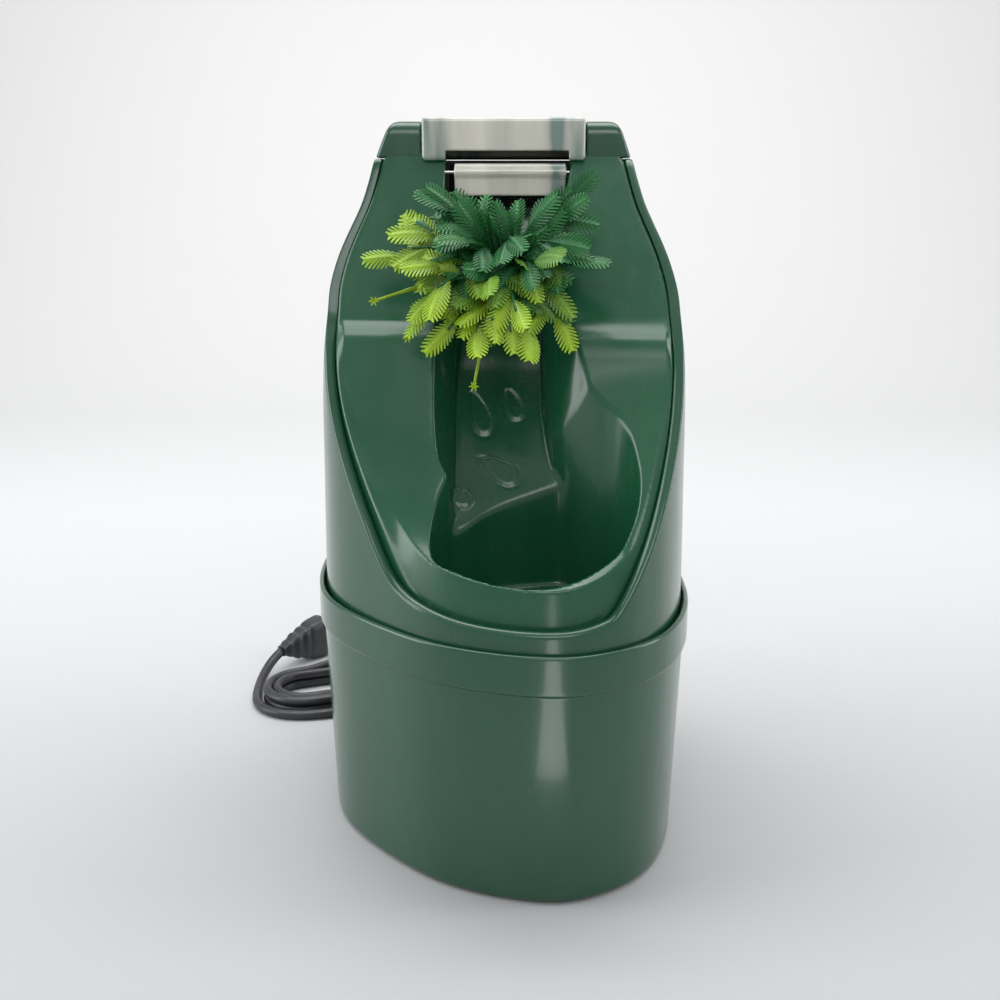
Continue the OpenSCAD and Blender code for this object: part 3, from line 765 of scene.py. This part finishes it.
# ---------------- housing
def make_housing():
    """The outer wall with its rolled edge. A point of the section is its inset, its share of
    the way from the skirt to the edge, and its drop below the edge."""
    top = ridge_height(PLAN_AT[:, 0], PLAN_AT[:, 1])
    skirt = 90.3
    r = BEAD / 2
    section = [(0.0, f, -r * 1.001) for f in np.linspace(0, 1, 40)]
    section += [(r - r * math.cos(a), 1, -r + r * math.sin(a))
                for a in np.radians(np.linspace(12, 168, 13))]
    flat = 1 - 0.75 * smooth_step(*BEAD_FLAT, along(PLAN_AT[:, 0], PLAN_AT[:, 1]))
    section += [(BEAD, 1, -r), (BEAD, 1, -r - 1.6), (BEAD - 0.6, 1, -r - 2.2),
                (WALL + 0.6, 1, -r - 2.4), (WALL, 1, -r - 3.0)]
    section += [(WALL, f, -r - 3.0) for f in np.linspace(0.97, 0, 24)]
    rows = []
    for inset, f, drop in section:
        ring = PLAN_AT + (OUTER - inset) * PLAN_OUT
        z = skirt + (top + (drop * flat if drop > -r else drop) - skirt) * f
        x = top_shift(z) + ring[:, 0] * half_width(z) / PLAN_HALF
        rows.append(np.column_stack([x, ring[:, 1] * depth_scale(z), z]))
    faces = sweep_faces(len(rows), COLUMNS, around_rows=True)
    return add_mesh("housing_shell", np.concatenate(rows), faces)


housing = make_housing()
cut_block(housing, (34.5, 78, 80), (45.5, 100, 105.5))
finish_piece(housing, GREEN, "green_body", "upper_housing", "housing")
sharpen(housing, 50)

# ---------------- cascade tray
BASIN_Z = 108.2
TRAY_IN = 4.55
TRAY_LOW = 103.5
TRAY_REAR = 31.8
BASIN = [
    (-23.4, -66.8), (-16.4, -71), (-7.4, -75.6), (2, -79.2), (14, -81.4), (27, -79.2),
    (39, -73.2), (46, -67.8), (51, -61.6), (52.5, -54), (50.3, -45.4), (46.6, -40), (42, -36.2),
    (37.8, -33.3), (33.7, -30.4), (29.5, -27.4), (25.4, -24.4), (20, -20.6), (8, -20),
    (-8, -26), (-17, -34), (-20.4, -42.4), (-23.6, -47), (-26, -54), (-26, -61.4),
]
CHANNEL = [
    (34.2, -32), (32.6, -27), (30.2, -22.4), (26.8, -12), (25.6, 0), (26, 12),
    (29, 24), (29, 36), (29, 48), (4, 50), (-22.5, 48), (-22.5, 36), (-22.5, 24), (-25, 12), (-26, 0),
    (-26.2, -14), (-26, -28), (-24.2, -37), (-20.4, -42.4), (-14, -48), (6, -50), (26, -44), (33, -38),
]
slide_height = table([
    (-40, 134.5), (-37.4, 137.5), (-30.4, 144.6), (-24, 151.6), (-15.4, 163), (-4, 177.4), (8, 191.6),
    (15, 200), (19, 207), (23, 222), (29.6, 252), (36, 258), (50, 258),
])
lip_line = table([(-27, -41), (-20, -40), (-13.4, -37.4), (-6, -33.4), (1.5, -30.4), (12, -27.4),
                  (25.4, -24.4), (34, -24)])
# x, y, half length, half width and turn of each raised leaf shape
PADS = [
    (-8.6, -4.5, 9.8, 4.4, 108), (5.4, -2.0, 7.4, 3.9, 108), (-0.6, -20.5, 8.8, 4.6, 150),
    (-17.0, -28.0, 6.0, 3.8, 150),
]


def closed_curve(points, per=6):
    """Catmull-Rom points round a closed outline."""
    p = np.array(points, float)
    n = len(p)
    out = []
    for k in range(n):
        a, b, c, d = p[k - 1], p[k], p[(k + 1) % n], p[(k + 2) % n]
        for t in np.linspace(0, 1, per, endpoint=False):
            out.append(0.5 * (2 * b + (c - a) * t + (2 * a - 5 * b + 4 * c - d) * t**2
                              + (3 * b - a - 3 * c + d) * t**3))
    return np.array(out)


def polygon_distance(x, y, outline):
    """Signed distance to a closed outline, negative inside."""
    shape = np.broadcast(x, y).shape
    px, py = np.broadcast_to(x, shape).ravel(), np.broadcast_to(y, shape).ravel()
    best = np.full(px.shape, 1e9)
    inside = np.zeros(px.shape, bool)
    nxt = np.roll(outline, -1, axis=0)
    for (ax, ay), (bx, by) in zip(outline, nxt):
        ex, ey = bx - ax, by - ay
        t = np.clip(((px - ax) * ex + (py - ay) * ey) / (ex * ex + ey * ey), 0, 1)
        best = np.minimum(best, (px - ax - t * ex)**2 + (py - ay - t * ey)**2)
        crosses = (ay > py) != (by > py)
        if ey != 0:
            inside ^= crosses & (px < ax + (py - ay) * ex / ey)
    best = np.sqrt(best)
    return np.where(inside, -best, best).reshape(shape)


GRID_STEP = 0.5
GRID_X = np.arange(-80, 80.5, GRID_STEP)
GRID_Y = np.arange(-95, 60.5, GRID_STEP)
BASIN_GRID = polygon_distance(GRID_X[:, None], GRID_Y[None, :], closed_curve(BASIN))
CHANNEL_GRID = polygon_distance(GRID_X[:, None], GRID_Y[None, :], closed_curve(CHANNEL))


def cubic_weights(t):
    """Catmull-Rom weights of four neighbouring values."""
    return (
        -0.5 * t + t**2 - 0.5 * t**3, 1 - 2.5 * t**2 + 1.5 * t**3,
        0.5 * t + 2 * t**2 - 1.5 * t**3, -0.5 * t**2 + 0.5 * t**3,
    )


def grid_value(grid, x, y):
    """A distance read smoothly from its grid."""
    x, y = np.broadcast_arrays(x, y)
    u = np.clip((x - GRID_X[0]) / GRID_STEP, 1, len(GRID_X) - 3)
    v = np.clip((y - GRID_Y[0]) / GRID_STEP, 1, len(GRID_Y) - 3)
    i, j = u.astype(int), v.astype(int)
    wu, wv = cubic_weights(u - i), cubic_weights(v - j)
    total = 0
    for a in range(4):
        for b in range(4):
            total = total + wu[a] * wv[b] * grid[i + a - 1, j + b - 1]
    return total


def band_width(x, y):
    """Inset of the crisp edge where the face meets the band beside the rolled edge."""
    w = along(x, y)
    left = 1 - smooth_step(-35, 5, x)
    return 5.5 + 3.6 * left * np.exp(-((w - 34) / 13)**2) + 1.6 * smooth_step(0, 22, w)


def tray_top(x, y):
    """Height of the tray's surface, before the opening is cut."""
    face = face_height(x, y)
    inset = -outside(x, y, face)
    flush = smooth_step(*BEAD_FLAT, along(x, y))
    valley = np.minimum(ridge_height(x, y) - 2.2 + 1.7 * flush, face + 30)
    t = np.clip((inset - TRAY_IN) / (band_width(x, y) - TRAY_IN), 0, 1)
    return valley + (face - valley) * t


def pad_relief(x, y):
    """Raised leaf shapes on the slide, each with a rounded border."""
    relief = 0
    for px, py, long, wide, turn in PADS:
        c, s = math.cos(math.radians(turn)), math.sin(math.radians(turn))
        # Along the slope the pads are longer than in plan
        dx, dy = x - px, (y - py) * 1.45
        a, b = (c * dx + s * dy) / long, (-s * dx + c * dy) / wide
        shape = np.sqrt(a**2 + (b / np.maximum(0.18, 1 - 0.42 * (a + 0.35)))**2) - 1
        relief = relief + 0.8 * (1 - smooth_step(-0.12, 0.04, shape))
        relief = relief - 0.45 * np.exp(-((shape - 0.09) / 0.07)**2)
    return relief


def floor_height(x, y):
    """The slide with its pads, and the raised strip along its right side."""
    strip = 17 + 8 * smooth_step(-4, -24, y)
    return slide_height(y) + pad_relief(x, y) + 4.2 * smooth_step(strip, strip + 1.8, x)


def normalised(height, x, y, z):
    """About the distance above a height field."""
    e = 0.4
    here = height(x, y)
    gx = (height(x + e, y) - height(x - e, y)) / (2 * e)
    gy = (height(x, y + e) - height(x, y - e)) / (2 * e)
    return (z - here) / np.sqrt(1 + gx**2 + gy**2)


def tray_field(x, y, z):
    """The tray's shell: face and valley on top, with the channel and basin sunk into it."""
    top = normalised(tray_top, x, y, z)
    solid = smooth_max(top, outside(x, y, z) + TRAY_IN, 0.9)
    depth = np.maximum(tray_top(x, y) - z, 0)
    slant = 0.2 * (1 - smooth_step(16, 26, y))
    channel = grid_value(CHANNEL_GRID, x, y) + slant * np.minimum(depth, 38)
    wall = smooth_min(grid_value(BASIN_GRID, x, y), channel, 0.8)
    slide = normalised(floor_height, x, y, z)
    lip = (lip_line(x) - y) / 1.15
    floor = smooth_min(smooth_max(slide, lip, 1.6), z - BASIN_Z, 3.5)
    cavity = smooth_max(wall, -floor, 2.4)
    body = smooth_max(solid, -cavity, 1.2)
    shell = smooth_max(body, -(body + TRAY_WALL), 0.5)
    return smooth_max(np.maximum(shell, TRAY_LOW - z), y - TRAY_REAR, 0.5)


FINE = 0.9
tray = surface_object("cascade_moulding", tray_field, (-72, -89, 102), (74, 33, 281), FINE)
finish_piece(tray, GREEN_TRAY, "green_tray", "upper_housing", "cascade_tray")

# ---------------- hood, lid and flap
LID_MIDDLE, LID_HALF = 1.5, 33.8
LID_X0, LID_X1 = LID_MIDDLE - LID_HALF, LID_MIDDLE + LID_HALF
LID_Y0, LID_Y1 = 22, 76
LID_LOW, LID_TOP = 277.2, 294.4
SLOT_X0, SLOT_X1, SLOT_TOP = -22.5, 28.5, 281


def box_distance(x, y, z, low, high, r):
    """Distance outside a box with rounded edges."""
    q = [np.abs(p - (a + b) / 2) - (b - a) / 2 + r for p, a, b in zip((x, y, z), low, high)]
    out = np.sqrt(sum(np.maximum(c, 0)**2 for c in q))
    return out + np.minimum(np.maximum(np.maximum(q[0], q[1]), q[2]), 0) - r


def hood_solid(x, y, z, d, r):
    """The hood's outside, moved in by d, with edges of radius r."""
    front = TOP_Y + 0.4 + d * 0.7 + 0.12 * (z - SHOULDER_Z) - y
    side = outside(x, y, np.minimum(z, HOOD_Z)) + d
    return smooth_max(smooth_max(side, front, r * 0.6), z - (HOOD_Z - d), r)


def hood_field(x, y, z):
    shell = smooth_max(hood_solid(x, y, z, 0, 5.5), -hood_solid(x, y, z, WALL, 3.5), 0.5)
    low, high = (LID_X0 - 0.5, TOP_Y - 8, 260), (LID_X1 + 0.5, LID_Y1 + 0.5, 310)
    window = box_distance(x, y, z, low, high, 1.5)
    return np.maximum(smooth_max(shell, -window, 0.8), SHOULDER_Z + 0.3 - z)


hood_step = 0.75
hood = surface_object("hood_shell", hood_field, (-58, 20, 276), (62, 92, 296), hood_step)
finish_piece(hood, GREEN, "green_body", "upper_housing", "hood")


def lid_field(x, y, z):
    """An open-bottomed box with a slot in its front and its sides cut short behind."""
    def block(low, high, r):
        return box_distance(x, y, z, low, high, r)

    outer = block((LID_X0, LID_Y0, LID_LOW), (LID_X1, LID_Y1, LID_TOP), 1.8)
    inner = block((LID_X0 + 2, LID_Y0 + 2, LID_LOW - 20), (LID_X1 - 2, LID_Y1 - 2, LID_TOP - 2), 1.0)
    slot = block((SLOT_X0, LID_Y0 - 6, LID_LOW - 10), (SLOT_X1, LID_Y0 + 6, SLOT_TOP), 0.5)
    rear = block((LID_X0 - 5, LID_Y0 + 2, 260), (LID_X1 + 5, LID_Y1 + 5, LID_LOW + 2.3), 0.5)
    shell = smooth_max(outer, -inner, 0.4)
    return smooth_max(smooth_max(shell, -slot, 0.5), -rear, 0.5)


lid_step = 0.6
lid = surface_object("lid_moulding", lid_field, (-35, 20, 275), (38, 78, 298), lid_step)
finish_piece(lid, SMOKED, "smoked", "lid", "filter_lid")

PIN_Y, PIN_Z = 23.5, 272.5
FLAP_X0, FLAP_X1 = -19, 27.4
BARREL_R, BORE_R = 2.0, 0.9


def flap_field(x, y, z):
    """A plate on a barrel with a bore for the pin."""
    radius = np.sqrt((y - PIN_Y)**2 + (z - PIN_Z)**2)
    low, high = (FLAP_X0, PIN_Y - 0.9, 263), (FLAP_X1, PIN_Y + 0.9, 276)
    plate = box_distance(x, y, z, low, high, 0.7)
    ends = np.maximum(FLAP_X0 - x, x - FLAP_X1)
    both = smooth_max(smooth_min(radius - BARREL_R, plate, 1.2), ends, 0.5)
    return np.maximum(both, BORE_R - radius)


flap_step = 0.45
flap = surface_object("flap_moulding", flap_field, (-21, 20, 261), (30, 27, 278), flap_step)
finish_piece(flap, SMOKED, "smoked", "flap", "spill_flap")

# ---------------- plant
rng = random.Random(7)
STEM_ROOT = np.array([1.0, 9.8, 231.5])
STEM_TIPS = [
    (-44, -14, 240), (-49, -22, 224), (-36, -24, 210), (-10, -36, 193), (30, -8, 262), (31, -22, 238),
    (26, -26, 216), (-22, -10, 260), (-24, -32, 230), (6, -38, 222), (4, -14, 248), (16, -30, 240),
    (-10, -34, 210), (-34, -20, 244), (-14, -24, 246), (-30, -24, 218), (-20, -30, 214), (12, -32, 210),
    (-3, -34, 218), (20, -24, 228), (-26, -24, 236), (10, -24, 234), (-4, -28, 232), (22, -16, 246),
    (-12, -16, 248), (-14, -6, 252), (12, -8, 250), (24, -8, 256), (-27, -26, 226), (4, -36, 214),
    (-30, -14, 250), (27, -20, 240),
]
BARE = (1, 2, 3)
STEM_SIDES = 8
DARK_LEAF = np.array([0.006, 0.095, 0.026])
MID_LEAF = np.array([0.014, 0.17, 0.034])
LIME_LEAF = np.array([0.38, 0.60, 0.012])


def stem_curve(tip, sag):
    """A bent stem from the root to the tip."""
    tip = np.array(tip, float)
    out = STEM_ROOT + np.array([0, -12.0, 6.0])
    bend = (STEM_ROOT + tip) / 2 + np.array([0, -6.0, sag])
    t = np.linspace(0, 1, 18)[:, None]
    return (1 - t)**3 * STEM_ROOT + 3 * (1 - t)**2 * t * out + 3 * (1 - t) * t**2 * bend + t**3 * tip


leaf_outline = table([(0, 0.2), (0.15, 0.62), (0.4, 1.0), (0.65, 0.98), (0.88, 0.7), (1, 0.25)])


def leaf_mesh(length, width, curl, fold):
    """One leaflet along +X: a narrow ribbed blade with long comb teeth on both sides."""
    teeth = max(9, int(length / 1.5))
    verts, faces = [], []

    def bent(s, side, lift=0.0):
        f = s / length
        return (s, side, lift + 0.12 * length * f - curl * length * f * f - fold * abs(side))

    for k in range(2 * teeth + 1):
        verts.append(bent(length * k / (2 * teeth), 0, 0.15))
    for side in (-1, 1):
        first = len(verts)
        for k in range(2 * teeth + 1):
            f = k / (2 * teeth)
            share = 0.42 if k % 2 else 0.3
            verts.append(bent(length * f, side * width / 2 * float(leaf_outline(f)) * share))
        for k in range(2 * teeth):
            quad = (k, k + 1, first + k + 1, first + k)
            faces.append(quad if side > 0 else quad[::-1])
        for k in range(teeth):
            f = (2 * k + 1) / (2 * teeth)
            reach = width / 2 * float(leaf_outline(f))
            at = length * f + 0.5 * reach
            verts.append(bent(at, side * reach))
            verts.append(bent(at + 0.45, side * reach * 0.94))
            tip = len(verts) - 2
            a, b, c = first + 2 * k, first + 2 * k + 1, first + 2 * k + 2
            for face in ((a, b, tip), (b, tip + 1, tip), (b, c, tip + 1)):
                faces.append(face[::-1] if side > 0 else face)
    return np.array(verts), faces


def place_leaf(verts, at, heading, up):
    """The leaf moved to a point, along its heading, with its upper side towards up."""
    x = heading / np.linalg.norm(heading)
    z = up - x * (up @ x)
    z /= np.linalg.norm(z)
    y = np.cross(z, x)
    return at + verts[:, :1] * x + verts[:, 1:2] * y + verts[:, 2:] * z


def stem_rings(route, r0, r1):
    """Rings of a thin stem that swells a little at its nodes."""
    radii = np.linspace(r0, r1, len(route))
    radii[4::5] *= 1.4
    return carried_rings(route, radii, (0.3, 0.2, 1.0), STEM_SIDES)


def build_plant():
    """Stems with leaves along them, and a few bare ones with buds and a spiked tip."""
    stem_rows, stem_faces, stem_tints = [], [], []
    leaf_verts, leaf_faces, leaf_tints = [], [], []
    leaf_count = 0

    def add_stem(route, r0, r1, tint):
        rows = stem_rings(route, r0, r1)
        base = len(stem_rows)
        stem_rows.extend(rows)
        stem_tints.extend([tint] * len(rows))
        faces = sweep_faces(len(route), STEM_SIDES, caps=True)
        stem_faces.extend([tuple(i + base for i in f) for f in faces])

    for index, tip in enumerate(STEM_TIPS):
        route = stem_curve(tip, rng.uniform(0, 10))
        bare = index in BARE
        add_stem(route, 0.9, 0.55, LIME_LEAF * 0.8 if bare else MID_LEAF * 0.6)
        if bare:
            for a in range(6):
                angle = a * math.pi / 3
                spike = np.array([math.cos(angle), -0.8, math.sin(angle)])
                end = route[-1] + 1.9 * spike
                add_stem(np.array([route[-1], (route[-1] + end) / 2, end]), 0.6, 0.15, LIME_LEAF)
            for k in range(4, 17, 3):
                bud = route[k] + np.array([rng.uniform(-1.2, 1.2), -0.8, rng.uniform(-1.2, 1.2)])
                add_stem(np.array([route[k], (route[k] + bud) / 2, bud]), 0.7, 0.2, LIME_LEAF * 0.9)
            continue
        for k in range(6):
            j = min(16, int((0.36 + 0.115 * k) * 17))
            at = route[j]
            along_stem = (route[j + 1] - route[j]) / np.linalg.norm(route[j + 1] - route[j])
            sign = 1 if k % 2 else -1
            swing = sign * rng.uniform(0.3, 1.15) if k < 5 else rng.uniform(-0.3, 0.3)
            face_out = np.array([0.1 * rng.uniform(-1, 1), -0.8, 0.6])
            across = np.cross(face_out, along_stem)
            across /= np.linalg.norm(across)
            heading = along_stem * math.cos(swing) + across * math.sin(swing)
            heading = heading + np.array([0, rng.uniform(-0.3, 0.05), rng.uniform(-0.4, 0.2)])
            tilt = [rng.uniform(-1, 1), rng.uniform(-0.5, 0.5), rng.uniform(-0.6, 0.8)]
            up = face_out + 0.6 * np.array(tilt)
            length = rng.uniform(15, 20.5) * (1.15 if index == 0 else 1)
            verts, faces = leaf_mesh(length, length * rng.uniform(0.44, 0.54),
                                     rng.uniform(0.1, 0.4), rng.uniform(0.05, 0.3))
            lime = (238 - at[2]) / 16 + (-16 - at[1]) / 20 + rng.uniform(-0.7, 0.6)
            lime = max(lime, 0.9) if at[0] < -20 and at[2] < 252 and rng.random() < 0.85 else lime
            lime = float(np.clip(lime, 0, 1))
            tip_tint = MID_LEAF * (1 - lime) + LIME_LEAF * lime
            base_tint = DARK_LEAF * (1 - 0.6 * lime) + LIME_LEAF * 0.35 * lime
            f = np.clip(verts[:, :1] / length, 0, 1)**0.8
            leaf_verts.append(place_leaf(verts, at, heading, up))
            leaf_faces.extend([tuple(i + leaf_count for i in face) for face in faces])
            leaf_tints.append(base_tint * (1 - f) + tip_tint * f)
            leaf_count += len(verts)
    stems = add_mesh("plant_twigs", np.array(stem_rows), stem_faces)
    leaves = add_mesh("plant_fronds", np.concatenate(leaf_verts), leaf_faces, smooth=False)
    for obj, tints in ((stems, np.array(stem_tints)), (leaves, np.concatenate(leaf_tints))):
        layer = obj.data.color_attributes.new("tint", "FLOAT_COLOR", "POINT")
        layer.data.foreach_set("color", np.column_stack([tints, np.ones(len(tints))]).ravel())
    thick = leaves.modifiers.new("thick", "SOLIDIFY")
    thick.thickness = 0.00035
    thick.offset = 0
    apply_modifiers(leaves)
    return stems, leaves


twigs, fronds = build_plant()
finish_piece(twigs, LEAF, "plant_stem", "plant", "plant_stems")
finish_piece(fronds, LEAF, "plant_leaf", "plant", "plant_leaves")

# ---------------- CAD nodes that stay
KEPT = {
    "rubber_feet": RUBBER, "flap_pin": STEEL, "filter_box": BOX_PLASTIC, "filter_sponge": foam(),
    "riser_tube": clear_vinyl(), "plant_socket": GREEN_TRAY, "plant_base": STEM_PLASTIC,
    "pump_body": PUMP_PLASTIC, "stator_core": LAMINATIONS, "stator_coil": COPPER_TURNS,
    "volute_cover": PUMP_PLASTIC, "intake_cover": PUMP_PLASTIC, "flow_dial": DIAL_PLASTIC,
    "impeller_magnet": MAGNET, "impeller_vanes": VANE_PLASTIC, "impeller_shaft": CERAMIC,
    "shaft_bushes": RUBBER, "suction_cups": GREY_RUBBER, "pump_gland": RUBBER,
    "pump_lead": CORD_VINYL, "cord_grommet": RUBBER, "cord_tie": GREY_RUBBER,
}
for name, material in KEPT.items():
    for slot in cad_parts[name].material_slots:
        slot.link = "OBJECT"
        slot.material = material

# ---------------- floor, light
SWEEP_START = 0.9
SWEEP_RADIUS = 0.8


def make_floor():
    """A level floor that curves up behind into a plain wall. Its colour is painted darker at the front
    and lighter towards the back, as painted light falloff.
    """
    profile = [(-4.0, 0), (-1.0, 0), (0, 0), (SWEEP_START, 0)]
    profile += [(SWEEP_START + SWEEP_RADIUS * math.sin(a), SWEEP_RADIUS * (1 - math.cos(a)))
                for a in np.radians(np.linspace(3, 90, 30))]
    profile.append((SWEEP_START + SWEEP_RADIUS, 4))
    half = 4.0
    mesh = bpy.data.meshes.new("floor")
    vertices = [(side * half, y, z) for y, z in profile for side in (-1, 1)]
    faces = [(2 * i, 2 * i + 1, 2 * i + 3, 2 * i + 2) for i in range(len(profile) - 1)]
    mesh.from_pydata(vertices, [], faces)
    obj = link_mesh("floor", mesh)
    f = Finish("pale_floor", {"Roughness": 0.6})
    # Painted light: the floor's colour brightens with depth, from dim grey in front to near white on
    # the wall. This stands in for how the lamps light the sweep.
    back = f.nodes.new("ShaderNodeMapRange")
    back.inputs["From Min"].default_value = -0.4
    back.inputs["From Max"].default_value = SWEEP_START + SWEEP_RADIUS
    f.links.new(f.reader("ShaderNodeSeparateXYZ").outputs["Y"], back.inputs["Value"])
    f.ramp(back.outputs["Result"], "Base Color",
           (0.0, (0.38, 0.385, 0.39)), (0.2, (0.48, 0.485, 0.49)), (0.42, (0.63, 0.635, 0.64)),
           (0.62, (0.69, 0.69, 0.69)), (1.0, (0.83, 0.82, 0.81)))
    obj.data.materials.append(f.material)


make_floor()


def area_light(name, place, target, size, power, colour=(1, 1, 1)):
    data = bpy.data.lights.new(name, "AREA")
    data.shape = "RECTANGLE"
    data.size, data.size_y = size
    data.energy = power
    data.color = colour
    obj = bpy.data.objects.new(name, data)
    obj.location = place
    obj.rotation_euler = (Vector(target) - Vector(place)).to_track_quat("-Z", "Y").to_euler()
    scene.collection.objects.link(obj)


area_light("left_window", (-1.0, -0.1, 0.45), (0, 0, 0.15), (0.6, 1.1), 8, (0.97, 0.99, 1))
area_light("right_window", (1.0, 0.0, 0.45), (0, 0, 0.15), (0.35, 1.0), 4.5, (0.97, 0.99, 1))
area_light("front_strip", (0.024, -0.42, 0.004), (0.024, -0.42, 1), (0.06, 0.5), 0.26)
area_light("front_fill", (0.1, -1.6, 1.3), (0, 0, 0.15), (1.2, 0.6), 7)
area_light("overhead", (0, 0.15, 1.2), (0, 0.05, 0.1), (1.1, 0.7), 8)
area_light("wall_wash", (0, 0.6, 2.0), (0, 1.7, 0.3), (2.5, 0.4), 16)

world = bpy.data.worlds.new("studio")
scene.world = world
world.use_nodes = True
background = world.node_tree.nodes["Background"]
background.inputs["Color"].default_value = (0.93, 0.95, 0.97, 1)
background.inputs["Strength"].default_value = 0.5
scene.view_settings.view_transform = "Standard"
